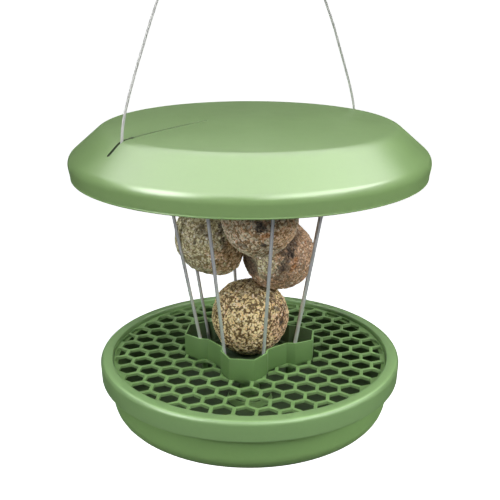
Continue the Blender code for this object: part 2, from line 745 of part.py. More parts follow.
def make_roof(slide):
    roof = turned("roof_shell", roof_profile(), closed=False)
    low, high = RING_TOP - OVERRUN, CREASE_HEIGHT + ROOF_DOME_RISE + OVERRUN
    half_width = ROPE_RADIUS + SLOT_PLAY
    keyhole_half_width = ROPE_RADIUS + KEYHOLE_PLAY
    outer_end = ROPE_LEG_RADIUS + SLOT_PAST_LEG
    seat_end = ROPE_LEG_RADIUS - SLOT_BEFORE_LEG
    keyhole = seat_end - KEYHOLE_SETBACK
    long_slot = [
        (outer_end - LONG_SLOT_LENGTH, half_width),
        (keyhole - keyhole_half_width, half_width),
        (keyhole - keyhole_half_width / 2, keyhole_half_width),
        (keyhole + keyhole_half_width / 2, keyhole_half_width),
        (keyhole + keyhole_half_width, ROPE_HOLE_RADIUS),
        (seat_end, ROPE_HOLE_RADIUS),
        (seat_end + half_width, half_width),
        (outer_end, half_width),
    ]
    short_slot = [(seat_end, half_width), (outer_end, half_width)]
    for name, stations, angle in (
        ("long_slot", long_slot, ROPE_LINE),
        ("short_slot", short_slot, ROPE_LINE + math.pi),
    ):
        cutter = plate(name, [slot_outline(stations)], low, high)
        cutter.rotation_euler.z = angle
        combine(roof, guide(cutter), "DIFFERENCE")
    return keep(roof, PARTS, ROOF_FINISH, slide)


def make_ferrules():
    """A crimped sleeve under each arm of the ring. The rope ends in its bore and can't pull through."""
    bottom = FERRULE_TOP - FERRULE_LENGTH
    floor = bottom + FERRULE_FLOOR
    profile = [
        (0, bottom),
        (0, floor),
        (ROPE_HOLE_RADIUS, floor),
        (ROPE_HOLE_RADIUS, FERRULE_TOP),
        (FERRULE_RADIUS, FERRULE_TOP),
        (FERRULE_RADIUS, bottom),
    ]
    for name, angle in (("rope_ferrule_left", ROPE_LINE), ("rope_ferrule_right", ROPE_LINE + math.pi)):
        ferrule = turned(name, profile[1:] + profile[:1], closed=False, steps=FERRULE_SIDES)
        ferrule.location = polar(ROPE_LEG_RADIUS, angle)
        keep(ferrule, PARTS, ROPE_FINISH)


def rope_route():
    """The points that the rope passes, from the left ferrule over the crown to the right one."""
    foot = [(ROPE_LEG_RADIUS, ROPE_END_HEIGHT), (ROPE_LEG_RADIUS, FERRULE_TOP), (ROPE_LEG_RADIUS, RING_TOP)]
    arch = [(reach, CREASE_HEIGHT + rise) for reach, rise in ROUTE_LEFT_LEG + ROUTE_CROWN + ROUTE_RIGHT_LEG]
    return foot + arch + [(-reach, height) for reach, height in reversed(foot)]


def smooth_route(route, count):
    """Evenly spaced points along a smooth curve through the route's points."""
    points = np.array(route)
    chord = np.concatenate([[0], np.cumsum(np.linalg.norm(np.diff(points, axis=0), axis=1))])
    slopes = np.gradient(points, chord, axis=0)
    fine = []
    for index in range(len(points) - 1):
        span = chord[index + 1] - chord[index]
        for share in np.linspace(0, 1, ROUTE_FINENESS, endpoint=False):
            square, cube = share**2, share**3
            fine.append(
                (2 * cube - 3 * square + 1) * points[index]
                + (cube - 2 * square + share) * span * slopes[index]
                + (3 * square - 2 * cube) * points[index + 1]
                + (cube - square) * span * slopes[index + 1]
            )
    fine = np.array([*fine, points[-1]])
    travel = np.concatenate([[0], np.cumsum(np.linalg.norm(np.diff(fine, axis=0), axis=1))])
    even = np.linspace(0, travel[-1], count)
    print(f"rope length {travel[-1]:.3f} m")
    return [(np.interp(at, travel, fine[:, 0]), np.interp(at, travel, fine[:, 1])) for at in even]


def make_rope():
    curve = bpy.data.curves.new("hanging_rope", "CURVE")
    curve.dimensions = "3D"
    curve.bevel_depth = ROPE_RADIUS
    curve.bevel_resolution = 2
    curve.use_fill_caps = True
    spline = curve.splines.new("POLY")
    spline.points.add(ROPE_TUBE_POINTS - 1)
    for point, (reach, height) in zip(spline.points, smooth_route(rope_route(), ROPE_TUBE_POINTS)):
        point.co = (*polar(reach, ROPE_LINE, height), 1)
    rope = bpy.data.objects.new("hanging_rope", curve)
    bpy.context.scene.collection.objects.link(rope)
    return keep(rope, PARTS, ROPE_FINISH)


def distance_to_line(point, start, end):
    along = (end - start).normalized()
    gap = point - start
    return (gap - along * gap.dot(along)).length


def make_balls():
    """Each ball is as large as the cup floor, the rods and the balls already in the cage allow."""
    cage_height = ROD_HEAD_HEIGHT - CUP_FLOOR_TOP
    placed = []
    for name, (across, depth, rise) in BALL_PLACE_SHARES.items():
        centre = Vector((across * ROD_HEAD_RADIUS, depth * ROD_HEAD_RADIUS, CUP_FLOOR_TOP + rise * cage_height))
        room = [centre.z - CUP_FLOOR_TOP]
        room += [distance_to_line(centre, *rod_line(index)) - ROD_RADIUS for index in range(2 * LOBES)]
        room += [(centre - other).length - radius for other, radius in placed]
        radius = min(room) - CLEARANCE
        placed.append((centre, radius))
        bpy.ops.mesh.primitive_uv_sphere_add(
            segments=BALL_MERIDIANS, ring_count=BALL_PARALLELS, radius=radius, location=centre
        )
        ball = bpy.context.object
        ball.name = name
        smooth(ball.data)
        keep(ball, PARTS, SUET_FINISH)
        print(f"{name} radius {radius:.4f} m at {centre.x:.4f}, {centre.y:.4f}, {centre.z:.4f}")


clear_scene()
PARTS = collection("suet_feeder")
CUTTERS = collection("cutters")
ROOF_FINISH = material("roof_green", GREEN_ROOF, 0.38)
TRAY_FINISH = material("tray_green", GREEN_TRAY, 0.42)
CUP_FINISH = material("cup_green", GREEN_CUP, 0.45)
STEEL_FINISH = material("rod_steel", STEEL, 0.35, 1.0)
ROPE_FINISH = material("rope_steel", ROPE_STEEL, 0.40, 1.0)
SUET_FINISH = material("suet", SUET, 0.85)

roof_slide = bpy.data.objects.new("roof_slide", None)
PARTS.objects.link(roof_slide)
roof_slide.location = (0, 0, ROOF_EDGE_HEIGHT)
roof_slide.rotation_euler = polar(SLIDE_LEAN, ROPE_LINE, 1).to_track_quat("Z", "Y").to_euler()
bpy.context.view_layer.update()

make_bowl()
make_rim()
make_grid()
make_cup()
make_screw()
make_rods()
make_nuts()
make_ring()
make_roof(roof_slide)
make_ferrules()
make_rope()
make_balls()
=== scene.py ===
"""Looks of the suet feeder: green plastic, steel rods, twisted wire rope and pressed suet balls.

Metres, +Z up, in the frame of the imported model. The camera looks along +Y, a little downwards.
"""

import math

import bmesh
import bpy
import numpy as np
from mathutils import Matrix, Quaternion, Vector


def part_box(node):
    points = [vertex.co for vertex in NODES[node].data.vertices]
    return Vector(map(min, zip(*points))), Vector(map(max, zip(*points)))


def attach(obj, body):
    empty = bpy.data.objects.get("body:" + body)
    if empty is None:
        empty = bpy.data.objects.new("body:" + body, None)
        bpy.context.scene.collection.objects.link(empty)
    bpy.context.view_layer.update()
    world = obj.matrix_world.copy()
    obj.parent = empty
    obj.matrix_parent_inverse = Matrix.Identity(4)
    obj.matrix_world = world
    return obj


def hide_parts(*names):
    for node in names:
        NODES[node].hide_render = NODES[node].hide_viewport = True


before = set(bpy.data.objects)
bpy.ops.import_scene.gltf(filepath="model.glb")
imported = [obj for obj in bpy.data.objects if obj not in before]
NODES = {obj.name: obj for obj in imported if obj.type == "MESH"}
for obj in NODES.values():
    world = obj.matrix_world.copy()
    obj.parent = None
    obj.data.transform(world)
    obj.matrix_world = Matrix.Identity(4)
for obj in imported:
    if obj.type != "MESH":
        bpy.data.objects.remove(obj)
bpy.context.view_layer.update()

# Sizes shared with the model
TWIST = math.radians(-6.65)
ROPE_LINE = TWIST - math.radians(135)
RIM_TOP = 0.0471
CUP_FLOOR = 0.0423
COLLAR_STEP = 0.0585
ROOF_EDGE = 0.1906
CREASE_RADIUS = 0.1071
CREASE_HEIGHT = ROOF_EDGE + 0.0348
DOME_RISE = 0.0070
ROPE_RADIUS = 0.001
ROPE_LEG_RADIUS = 0.1074
ROPE_END_HEIGHT = 0.1952
FERRULE_FOOT = 0.1937
FERRULE_TOP = 0.2027
RING_TOP = 0.2080
ROD_COUNT = 8
ROD_RADIUS = 0.0013
# Distance from the axis, angle from the middle of a lobe, and height
ROD_FOOT = (0.0354, math.radians(21.7), 0.0362)
ROD_HEAD = (0.0671, math.radians(22.2), 0.2102)

# From the axis to the rope's left leg, and square to the plane of the rope
ROPE_ALONG = Vector((math.cos(ROPE_LINE), math.sin(ROPE_LINE), 0))
ROPE_SIDEWAYS = Vector((-math.sin(ROPE_LINE), math.cos(ROPE_LINE), 0))
UP = Vector((0, 0, 1))


def placed(name, data):
    """A new object in the scene."""
    made = bpy.data.objects.new(name, data)
    bpy.context.scene.collection.objects.link(made)
    return made


# ---- camera ----

PHOTO_SIDE = 500
FOCAL_PIXELS = 849.6
SENSOR = 36.0
CAMERA_PLACE = (0, -0.61324, 0.33401)
CAMERA_PITCH = 0.323381

camera_data = bpy.data.cameras.new("camera")
camera_data.sensor_width = SENSOR
camera_data.lens = FOCAL_PIXELS / PHOTO_SIDE * SENSOR
camera_data.shift_x = 0.00068
camera_data.clip_start = 0.01
camera = placed("camera", camera_data)
camera.location = CAMERA_PLACE
camera.rotation_euler = (math.pi / 2 - CAMERA_PITCH, 0, 0)
bpy.context.scene.camera = camera


# ---- colours ----


def srgb(*levels):
    """Linear colour of an sRGB colour given from 0 to 255."""
    shares = [level / 255 for level in levels]
    return tuple(
        share / 12.92 if share <= 0.04045 else ((share + 0.055) / 1.055) ** 2.4 for share in shares
    )


def scaled(colour, share):
    return tuple(min(channel * share, 1.0) for channel in colour)


WHITE = (1.0, 1.0, 1.0)

# Tones that the seeds and crumbs of a ball take at random, as sRGB levels
TAN = (
    (112, 84, 50), (224, 202, 142), (240, 222, 162),
    (255, 246, 206), (232, 180, 98), (255, 255, 248),
)
OLIVE = (
    (70, 62, 44), (184, 176, 134), (212, 206, 162),
    (250, 244, 208), (160, 134, 92), (255, 255, 246),
)
GREY = (
    (76, 66, 52), (198, 184, 152), (228, 214, 182),
    (255, 244, 218), (220, 166, 116), (255, 255, 248),
)
RED = (
    (58, 40, 30), (162, 122, 92), (212, 168, 128),
    (250, 222, 186), (168, 108, 72), (255, 248, 232),
)
PINK = (
    (84, 62, 46), (196, 160, 120), (226, 190, 148),
    (252, 226, 190), (200, 142, 94), (255, 250, 234),
)


# ---- node helpers ----

# Sockets of a Mix node that mixes colours
MIX_FACTOR, MIX_FIRST, MIX_SECOND, MIX_RESULT = 0, 6, 7, 2


def start(name):
    made = bpy.data.materials.new(name)
    made.use_nodes = True
    return made, made.node_tree.nodes["Principled BSDF"]


def link(made, source, target):
    made.node_tree.links.new(source, target)


def add(made, kind, inputs=None, **settings):
    """A new node. Its inputs are given as values or as the sockets that feed them."""
    node = made.node_tree.nodes.new("ShaderNode" + kind)
    for key, value in settings.items():
        setattr(node, key, value)
    for key, value in (inputs or {}).items():
        if isinstance(value, bpy.types.NodeSocket):
            link(made, value, node.inputs[key])
        else:
            node.inputs[key].default_value = value
    return node


def ramp(made, factor, stops):
    node = add(made, "ValToRGB", {"Fac": factor})
    points = node.color_ramp.elements
    while len(points) < len(stops):
        points.new(1.0)
    for point, (position, colour) in zip(points, stops):
        point.position = position
        point.color = (*colour, 1.0)
    return node.outputs["Color"]


def place(made, scale=(1, 1, 1)):
    coords = add(made, "TexCoord")
    mapping = add(made, "Mapping", {"Vector": coords.outputs["Object"], "Scale": scale})
    return mapping.outputs["Vector"]


def noise(made, vector, scale, detail=3.0, rough=0.5):
    inputs = {"Vector": vector, "Scale": scale, "Detail": detail, "Roughness": rough}
    return add(made, "TexNoise", inputs).outputs[0]


def painted(made, layer):
    """The strength of a layer that the piece's mesh carries, and 0 where it has none."""
    return add(made, "Attribute", attribute_name=layer).outputs["Fac"]


def spread(made, value, low, high, start_at=0.3, end_at=0.7):
    """Maps the value's range from start_at to end_at onto low to high."""
    limits = {"From Min": start_at, "From Max": end_at, "To Min": low, "To Max": high}
    return add(made, "MapRange", {"Value": value, **limits}).outputs["Result"]


def mixed(made, factor, first, second, blend="MIX"):
    node = add(made, "Mix", data_type="RGBA", blend_type=blend)
    for key, value in ((MIX_FACTOR, factor), (MIX_FIRST, first), (MIX_SECOND, second)):
        if isinstance(value, bpy.types.NodeSocket):
            link(made, value, node.inputs[key])
        else:
            node.inputs[key].default_value = value if key == MIX_FACTOR else (*value, 1.0)
    return node.outputs[MIX_RESULT]


def relief(made, shader, height, distance, strength):
    bump = add(made, "Bump", {"Height": height, "Distance": distance, "Strength": strength})
    link(made, bump.outputs["Normal"], shader.inputs["Normal"])


# ---- materials ----

# What painted highlight and painted shade do to a moulded piece's colour, and what paint does to
# its roughness
HIGHLIGHT_PALER, SHADE_DARKER, PAINT_DULLS = 2.2, 0.12, 0.7


def plastic(name, colour, roughness, coat=0.0, shine=0.5):
    """Moulded plastic: faint flow clouds in the colour, fine pebble grain and uneven gloss.

    Where a piece is painted, painted highlight makes lit tops and edges paler, painted shade makes
    recesses and slot walls dark and dull, and matt places are duller.
    """
    made, shader = start(name)
    where = place(made)
    tones = [(0.2, scaled(colour, 0.96)), (0.8, scaled(colour, 1.04))]
    clouds = ramp(made, noise(made, where, 9.0, detail=2.0), tones)
    specks = ramp(made, noise(made, where, 420.0, detail=2.0), tones)
    edge_and_highlight, cut_and_shade, matt = [painted(made, layer) for layer in ("edge_and_highlight", "cut_and_shade", "matt")]
    base = mixed(made, 0.35, clouds, specks)
    # Painted highlight pales lit tops, and painted shade darkens recesses and slot walls
    base = mixed(made, edge_and_highlight, base, scaled(colour, HIGHLIGHT_PALER))
    base = mixed(made, cut_and_shade, base, scaled(colour, SHADE_DARKER))
    link(made, base, shader.inputs["Base Color"])
    gloss = spread(made, noise(made, where, 60.0), roughness - 0.02, roughness + 0.03)
    dull = add(made, "Math", {0: cut_and_shade, 1: matt}, operation="ADD").outputs[0]
    terms = {0: dull, 1: PAINT_DULLS, 2: gloss}
    worn = add(made, "Math", terms, operation="MULTIPLY_ADD", use_clamp=True).outputs[0]
    link(made, worn, shader.inputs["Roughness"])
    shader.inputs["Specular IOR Level"].default_value = shine
    shader.inputs["Coat Weight"].default_value = coat
    shader.inputs["Coat Roughness"].default_value = 0.26
    pebbles = noise(made, where, 1500.0, detail=2.0)
    relief(made, shader, pebbles, distance=0.00004, strength=0.6)
    return made


def steel(name, colour, roughness, metallic, grain):
    """Steel with a fine grain of those scales along X, Y and Z, and slightly uneven brightness."""
    made, shader = start(name)
    fine = noise(made, place(made, grain), 1.0, detail=4.0, rough=0.6)
    stain = noise(made, place(made), 120.0)
    dark, pale = scaled(colour, 0.92), scaled(colour, 1.05)
    lines = ramp(made, fine, [(0.35, dark), (0.65, pale)])
    stains = ramp(made, stain, [(0.4, dark), (0.6, pale)])
    link(made, mixed(made, 0.35, lines, stains), shader.inputs["Base Color"])
    shader.inputs["Metallic"].default_value = metallic
    gloss = spread(made, fine, roughness - 0.02, roughness + 0.03)
    link(made, gloss, shader.inputs["Roughness"])
    relief(made, shader, fine, distance=0.000003, strength=0.5)
    return made


def suet(name, tones, other_tones):
    """Pressed fat and seed. Each seed has its own tone, and the gaps between them are darkened with
    painted shade.

    Painted patches take the other tones, or show husks, or darken with dark seeds and painted
    shade.
    """
    made, shader = start(name)
    where = place(made)
    crumbs = add(made, "TexVoronoi", {"Vector": where, "Scale": 950.0, "Randomness": 1.0})
    crumb = add(made, "SeparateColor", {"Color": crumbs.outputs["Color"]}).outputs[0]

    grounds = []
    for palette in (tones, other_tones):
        stops = [(index / (len(palette) - 1), srgb(*tone)) for index, tone in enumerate(palette)]
        seeds = ramp(made, painted(made, "grain"), stops)
        grounds.append(mixed(made, 0.28, seeds, ramp(made, crumb, stops)))
    base = mixed(made, painted(made, "hue"), *grounds)

    husks = ramp(made, crumb, [(0.2, srgb(150, 96, 58)), (0.8, srgb(222, 160, 108))])
    base = mixed(made, painted(made, "husk"), base, husks)

    clouds = noise(made, where, 300.0, detail=5.0, rough=0.7)
    soil = spread(made, clouds, 0.0, 0.65, start_at=0.62, end_at=0.76)
    base = mixed(made, soil, base, srgb(78, 60, 42))

    # Painted shade in the gaps, darker where the surface lies lower between the seeds
    depths = [(0.0, srgb(138, 120, 96)), (0.12, srgb(206, 192, 168)), (0.28, WHITE)]
    base = mixed(made, 0.85, base, ramp(made, painted(made, "rise"), depths), "MULTIPLY")

    # Dark seeds and painted shade
    dark_seed_and_shade_tones = ramp(made, crumb, [(0.25, srgb(26, 25, 27)), (0.95, srgb(128, 112, 98))])
    base = mixed(made, painted(made, "dark_seed_and_shade"), base, dark_seed_and_shade_tones)

    link(made, base, shader.inputs["Base Color"])
    gloss = spread(made, crumb, 0.55, 0.9, start_at=0.0, end_at=1.0)
    link(made, gloss, shader.inputs["Roughness"])
    shader.inputs["Specular IOR Level"].default_value = 0.3
    relief(made, shader, crumbs.outputs["Distance"], distance=0.0004, strength=0.7)
    return made


# The roughness stays clear of 0.274, round which a denoised picture gets blotches
ROOF_GREEN = plastic("roof_plastic", srgb(129, 161, 100), 0.30, shine=1.0)
TRAY_GREEN = plastic("tray_plastic", srgb(130, 165, 106), 0.38, coat=0.35)
# The tray's plastic made a little paler on the bowl, as painted light on its sides
LIT_BOWL_GREEN = plastic("lit_bowl_plastic", srgb(134, 172, 104), 0.42, shine=0.35)
GRID_GREEN = plastic("grid_plastic", srgb(127, 164, 100), 0.42, shine=0.3)
# The green plastic darkened as painted shade on the collar, the screw knob and the head ring
SHADED_CUP_GREEN = plastic("shaded_cup_plastic", srgb(98, 131, 76), 0.42)
ROD_STEEL = steel(
    "rod_steel_drawn", (0.88, 0.89, 0.91), roughness=0.24, metallic=0.60, grain=(600.0, 600.0, 20.0)
)
ROPE_STEEL = steel(
    "rope_steel_strand", (0.46, 0.46, 0.45), roughness=0.50, metallic=0.15, grain=(1500.0,) * 3
)
BOLT_STEEL = steel(
    "nut_steel", (0.50, 0.51, 0.51), roughness=0.30, metallic=0.6, grain=(900.0,) * 3
)


# ---- mesh helpers ----

FINE_STEPS = 256
ON_AXIS = 1e-6
MERGE_DISTANCE = 0.000005


def keep(piece, body, slot, finish, *replaced):
    """Gives a piece its finish, and seats it on its body in place of the plain nodes."""
    piece.data.materials.clear()
    piece.data.materials.append(finish)
    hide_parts(*replaced)
    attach(piece, body)


def from_arrays(name, points, faces):
    mesh = bpy.data.meshes.new(name)
    mesh.from_pydata([tuple(point) for point in points], [], faces)
    mesh.update()
    return placed(name, mesh)


def smooth(piece, degrees=35):
    """Shades a piece smooth, apart from edges that turn by more than those degrees."""
    piece.data.shade_smooth()
    piece.data.set_sharp_from_angle(angle=math.radians(degrees))
    return piece


def apply_all(piece):
    """Turns a piece's modifiers into its own mesh."""
    bpy.context.view_layer.update()
    evaluated = piece.evaluated_get(bpy.context.evaluated_depsgraph_get())
    mesh = bpy.data.meshes.new_from_object(evaluated)
    piece.modifiers.clear()
    old, piece.data = piece.data, mesh
    bpy.data.meshes.remove(old)


def polar(radius, angle, height=0.0):
    return Vector((radius * math.cos(angle), radius * math.sin(angle), height))


def rounded(corners, steps=8, closed=True):
    """Rounds the corners (x, y, fillet) of an outline with arcs of that radius."""
    outline = []
    count = len(corners)
    for index, (x, y, fillet) in enumerate(corners):
        here = Vector((x, y))
        if fillet == 0 or not closed and index in (0, count - 1):
            outline.append(here)
            continue
        back = (Vector(corners[index - 1][:2]) - here).normalized()
        ahead = (Vector(corners[(index + 1) % count][:2]) - here).normalized()
        half = back.angle(ahead) / 2
        centre = here + (back + ahead).normalized() * (fillet / math.sin(half))
        first = here + back * (fillet / math.tan(half)) - centre
        last = here + ahead * (fillet / math.tan(half)) - centre
        sweep = first.angle_signed(last)
        for step in range(steps + 1):
            outline.append(centre + Matrix.Rotation(-sweep * step / steps, 2) @ first)
    return outline


def turned(name, profile, steps=FINE_STEPS, closed=True):
    """Turns a profile of (radius, height) round Z. An open profile starts and ends on the axis."""
    points, rings = [], []
    for radius, height in profile:
        if radius < ON_AXIS:
            rings.append([len(points)] * steps)
            points.append((0, 0, height))
            continue
        rings.append(range(len(points), len(points) + steps))
        for step in range(steps):
            angle = math.tau * step / steps
            points.append((radius * math.cos(angle), radius * math.sin(angle), height))
    faces = []
    count = len(rings)
    for index in range(count if closed else count - 1):
        ring, following = rings[index], rings[(index + 1) % count]
        for step in range(steps):
            after = (step + 1) % steps
            corner = [ring[step], ring[after], following[after], following[step]]
            face = list(dict.fromkeys(corner))
            if len(face) > 2:
                faces.append(face[::-1])
    return from_arrays(name, points, faces)


def prism(name, outline, low, high, angle):
    """An upright prism on an outline that is turned by the angle."""
    turn = Matrix.Rotation(angle, 2)
    flat = [turn @ point for point in outline]
    count = len(flat)
    points = [(*point, height) for height in (low, high) for point in flat]
    faces = [list(range(count))[::-1], list(range(count, 2 * count))]
    for index in range(count):
        after = (index + 1) % count
        faces.append([index, after, count + after, count + index])
    return from_arrays(name, points, faces)


def softened(node, name, bevel):
    """A copy of a node's form, its triangles merged into faces and its edges softly rounded."""
    mesh = NODES[node].data.copy()
    work = bmesh.new()
    work.from_mesh(mesh)
    bmesh.ops.remove_doubles(work, verts=work.verts, dist=MERGE_DISTANCE)
    flat = math.radians(1)
    bmesh.ops.dissolve_limit(work, angle_limit=flat, verts=work.verts, edges=work.edges)
    work.to_mesh(mesh)
    work.free()
    piece = placed(name, mesh)
    edge_and_highlight = piece.modifiers.new("edge_and_highlight", "BEVEL")
    edge_and_highlight.width = bevel
    edge_and_highlight.segments = 2
    edge_and_highlight.limit_method = "ANGLE"
    edge_and_highlight.angle_limit = math.radians(30)
    edge_and_highlight.use_clamp_overlap = True
    apply_all(piece)
    return smooth(piece)


def paint(piece, layer, strength):
    """Paints each face with the strength that a function of its centre and its normal gives."""
    values = piece.data.attributes.new(layer, "FLOAT", "FACE").data
    for face, value in zip(piece.data.polygons, values):
        value.value = float(strength(face.center, face.normal))


def shade(piece, layer, strength):
    """Paints each point with the strength that a function of its place gives, blended between."""
    values = piece.data.attributes.new(layer, "FLOAT", "POINT").data
    for point, value in zip(piece.data.vertices, values):
        value.value = float(strength(point.co))


# ---- roof ----

ROOF_WALL = 0.0022
# The rib under the dome that rests on the head ring
RIB_OUTER, RIB_INNER, RIB_FOOT = 0.0765, 0.0741, RING_TOP + 0.0003

# The slots along the rope's line, as stations of (distance from the axis, half width)
SLOT_HALF = 0.0014
SLOT_SEAT = ROPE_LEG_RADIUS - 0.0029
SLOT_END = ROPE_LEG_RADIUS + 0.0101
LONG_SLOT_LENGTH = 0.0795
KEYHOLE = SLOT_SEAT - 0.0060
KEYHOLE_HALF = 0.0020
NECK_HALF = 0.0013
LONG_SLOT = [
    (SLOT_END - LONG_SLOT_LENGTH, SLOT_HALF),
    (KEYHOLE - KEYHOLE_HALF, SLOT_HALF),
    (KEYHOLE - KEYHOLE_HALF / 2, KEYHOLE_HALF),
    (KEYHOLE + KEYHOLE_HALF / 2, KEYHOLE_HALF),
    (KEYHOLE + KEYHOLE_HALF, NECK_HALF),
    (SLOT_SEAT, NECK_HALF),
    (SLOT_SEAT + SLOT_HALF, SLOT_HALF),
    (SLOT_END, SLOT_HALF),
]
SHORT_SLOT = [(SLOT_SEAT, SLOT_HALF), (SLOT_END, SLOT_HALF)]


def dome_height(radius):
    sphere = (CREASE_RADIUS**2 + DOME_RISE**2) / (2 * DOME_RISE)
    return CREASE_HEIGHT + DOME_RISE - sphere + math.sqrt(sphere**2 - radius**2)


def under_dome(radius):
    return dome_height(radius) - ROOF_WALL


def slot_outline(stations):
    """A slot along +X from stations of (distance, half width), with a round end at each side."""
    (near, near_half), (far, far_half) = stations[0], stations[-1]
    turns = [math.pi * step / 8 for step in range(9)]
    quarter = math.pi / 2
    near_centre, far_centre = Vector((near + near_half, 0)), Vector((far - far_half, 0))
    outline = [Vector((distance, -half)) for distance, half in stations[1:-1]]
    outline += [far_centre + polar(far_half, turn - quarter).xy for turn in turns]
    outline += [Vector((distance, half)) for distance, half in reversed(stations[1:-1])]
    outline += [near_centre + polar(near_half, turn + quarter).xy for turn in turns]
    return outline


def slot_wall(centre, normal):
    """Strength of the shade on the walls of the slots, which is full from the keyhole outwards."""
    away = centre.xy.length
    in_slot = abs(centre.dot(ROPE_SIDEWAYS)) <= 0.0026 and 0.02 < away < 0.12
    if not in_slot or centre.z < RING_TOP or abs(normal.z) > 0.3:
        return 0.0
    return 1.0 if away > KEYHOLE - KEYHOLE_HALF else 0.62


def matt_top(point):
    """Strength of the dullness of the roof's top, which fades out on the shoulder."""
    start_radius, fade = 0.1180, 0.0140
    return 0.06 * min(max((start_radius - point.xy.length) / fade, 0), 1)


def make_roof():
    shares = np.linspace(0, 0.93, 24)
    dome = [(share * CREASE_RADIUS, dome_height(share * CREASE_RADIUS), 0) for share in shares]
    profile = dome + [
        (CREASE_RADIUS, CREASE_HEIGHT, 0.0140),
        (0.1319, ROOF_EDGE + 0.0135, 0.0085),
        (0.12980, ROOF_EDGE + 0.0013, 0.0003),
        (0.12995, ROOF_EDGE + 0.0008, 0.0003),
        (0.12980, ROOF_EDGE, 0.0005),
        (0.1295 - ROOF_WALL, ROOF_EDGE, 0.0006),
        (0.1319 - ROOF_WALL - 0.0002, ROOF_EDGE + 0.0126, 0.0065),
        (CREASE_RADIUS - 0.0012, CREASE_HEIGHT - 0.0024, 0.0118),
        (RIB_OUTER, under_dome(RIB_OUTER), 0.0008),
        (RIB_OUTER, RIB_FOOT, 0.0004),
        (RIB_INNER, RIB_FOOT, 0.0004),
        (RIB_INNER, under_dome(RIB_INNER), 0.0008),
        (0.0500, under_dome(0.0500), 0),
        (0.0250, under_dome(0.0250), 0),
        (0.0, under_dome(0.0), 0),
    ]
    roof = turned("roof_dome", rounded(profile, steps=12, closed=False), closed=False)
    for name, stations, angle in (
        ("long_slot", LONG_SLOT, ROPE_LINE),
        ("short_slot", SHORT_SLOT, ROPE_LINE + math.pi),
    ):
        low, high = RING_TOP - 0.004, CREASE_HEIGHT + 0.011
        cutter = prism(name, slot_outline(stations), low, high, angle)
        cut_and_shade = roof.modifiers.new(name, "BOOLEAN")
        cut_and_shade.operation = "DIFFERENCE"
        cut_and_shade.object = cutter
        apply_all(roof)
        bpy.data.objects.remove(cutter)
    # Painted shade darkens the walls of the slots
    paint(roof, "cut_and_shade", slot_wall)
    shade(roof, "matt", matt_top)
    keep(smooth(roof, 40), "roof", "roof_green", ROOF_GREEN, "roof_shell")


# ---- tray and cup ----


def make_bowl():
    step, base, wall = 0.1082, 0.1073, 0.0024
    ledge, shelf_inner = 0.0415, 0.1032
    under_shelf = ledge - 0.0022
    recess, recess_floor, screw_hole = 0.0060, 0.0084, 0.0028
    profile = [
        (step, ledge, 0.0006),
        (step, 0.0314, 0),
        (base, 0.0, 0.0147),
        (0.0160, 0.0, 0.0006),
        (0.0145, recess, 0.0005),
        (screw_hole, recess, 0),
        (screw_hole, recess_floor, 0),
        (0.0169, recess_floor, 0.0010),
        (0.0184, wall, 0.0010),
        (base - wall, wall, 0.0123),
        (step - wall, under_shelf, 0.0008),
        (shelf_inner, under_shelf, 0.0004),
        (shelf_inner, ledge, 0.0004),
    ]
    bowl = turned("bowl_shell", rounded(profile))

    # Painted shade on the bowl's inner faces under the ledge
    def inside(centre, normal):
        faces_in = normal.dot(centre - UP * 0.04) < 0
        return 0.82 * (0.0020 < centre.z < ledge - 0.001 and faces_in)

    paint(bowl, "cut_and_shade", inside)
    keep(smooth(bowl), "feeder_body", "tray_green", LIT_BOWL_GREEN, "catch_bowl")


def make_rim():
    outer, inner, low, wall = 0.1165, 0.1068, 0.0314, 0.0022
    foot_inner, lip_foot = 0.1085, 0.0418
    profile = [
        (outer, RIM_TOP, 0.0035),
        (outer - 0.0006, low, 0.0007),
        (foot_inner, low, 0.0003),
        (foot_inner, low + wall, 0),
        (outer - 0.0028, low + wall, 0.0005),
        (outer - wall, RIM_TOP - wall, 0.0013),
        (inner + wall, RIM_TOP - wall, 0.0005),
        (inner + wall, lip_foot, 0.0004),
        (inner, lip_foot, 0.0004),
        (inner, RIM_TOP, 0.0012),
    ]
    rim = turned("rim_band", rounded(profile))

    # Painted highlight on the lip's flat top
    def top(centre, normal):
        return 0.25 * (normal.z > 0.8 and centre.z > RIM_TOP - 0.0006)

    paint(rim, "edge_and_highlight", top)
    keep(smooth(rim), "feeder_body", "tray_green", TRAY_GREEN, "tray_rim")


def make_honeycomb():
    honeycomb = softened("perch_grid", "honeycomb", 0.00025)
    # Painted highlight on the struts' tops, and painted shade on their walls
    paint(honeycomb, "edge_and_highlight", lambda centre, normal: 0.16 * (normal.z > 0.9))
    paint(honeycomb, "cut_and_shade", lambda centre, normal: 0.35 * (normal.z < 0.5))
    keep(honeycomb, "feeder_body", "tray_green", GRID_GREEN, "perch_grid")


def make_collar():
    collar = softened("ball_cup", "collar", 0.00030)

    # Painted highlight on the lip's upper faces
    def lip(centre, normal):
        return 1.0 * (normal.z > 0.3 and centre.z > COLLAR_STEP)

    # Painted shade on the faces turned inwards and on the cup's floor
    def inside(centre, normal):
        faces_in = normal.xy.dot(centre.xy) < -0.005
        return 0.5 * (faces_in or normal.z > 0.9 and centre.z < COLLAR_STEP)

    paint(collar, "edge_and_highlight", lip)
    paint(collar, "cut_and_shade", inside)
    keep(collar, "feeder_body", "cup_green", SHADED_CUP_GREEN, "ball_cup")


def make_plain(node, name, bevel):
    """A piece of the cup's plastic that needs nothing but soft edges."""
    keep(softened(node, name, bevel), "feeder_body", "cup_green", SHADED_CUP_GREEN, node)


# ---- cage ----


def rod_line(index):
    """Foot and head of a rod. Rods stand in pairs, one at each side of a lobe's middle."""
    side = -1 if index % 2 == 0 else 1
    lobe = TWIST + math.tau * (index // 2) / 4
    ends = (ROD_FOOT, ROD_HEAD)
    return [polar(radius, lobe + side * angle, height) for radius, angle, height in ends]


